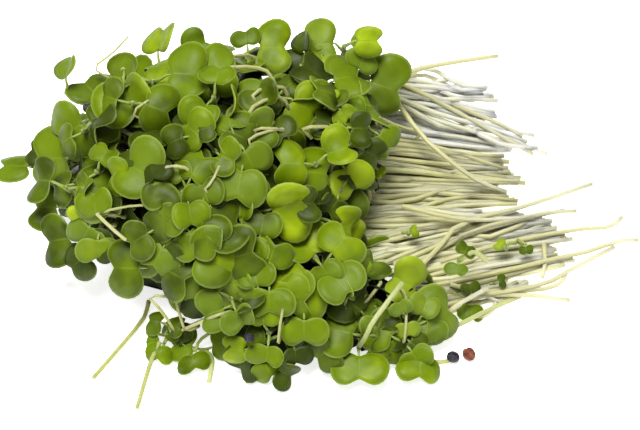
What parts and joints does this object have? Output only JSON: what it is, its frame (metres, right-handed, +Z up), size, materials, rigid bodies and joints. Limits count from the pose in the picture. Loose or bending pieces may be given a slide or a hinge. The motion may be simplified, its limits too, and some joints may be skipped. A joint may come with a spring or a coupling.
{
  "type": "broccoli cress bunch",
  "caption": "Cut bunch of broccoli cress lying flat: a heap of green heart-shaped seed leaves, with pale stems that fan out to one side.",
  "frame": {"origin": "on the flat underside of the leafy heap, where it rests on the table", "axes": "+X from the leafy heads towards the cut ends of the stems, +Y away from the viewer of the picture, +Z up"},
  "size_m": [0.1451, 0.0967, 0.0465],
  "materials": {
    "leaf_green": "satin living leaf, slightly translucent",
    "stem_pale": "smooth moist stem, slightly translucent",
    "hull_black": "dry wrinkled seed hull",
    "hull_brown": "dry wrinkled seed hull"
  },
  "bodies": {
    "root": {"leaf_tuft_left_front": "leaf_green", "leaf_tuft_left_back": "leaf_green", "leaf_tuft_back": "leaf_green", "leaf_tuft_crown": "leaf_green", "leaf_tuft_middle_front": "leaf_green", "leaf_tuft_right_back": "leaf_green", "leaf_tuft_right_middle": "leaf_green", "leaf_tuft_front": "leaf_green", "leaf_tuft_front_right": "leaf_green", "stem_sheaf_back": "stem_pale", "stem_sheaf_middle": "stem_pale", "stem_sheaf_front": "stem_pale", "lone_stem_left_long": "stem_pale", "lone_stem_left_short": "stem_pale", "lone_stem_back": "stem_pale", "seedling_left_front_leaves": "leaf_green", "seedling_left_front_stem": "stem_pale", "seedling_front_leaves": "leaf_green", "seedling_front_stem": "stem_pale", "seedling_front_right_leaves": "leaf_green", "seedling_front_right_stem": "stem_pale", "seedling_on_stems_leaves": "leaf_green", "seedling_on_stems_stem": "stem_pale", "seed_hull_black": "hull_black", "seed_hull_brown": "hull_brown"}
  },
  "joints": []
}
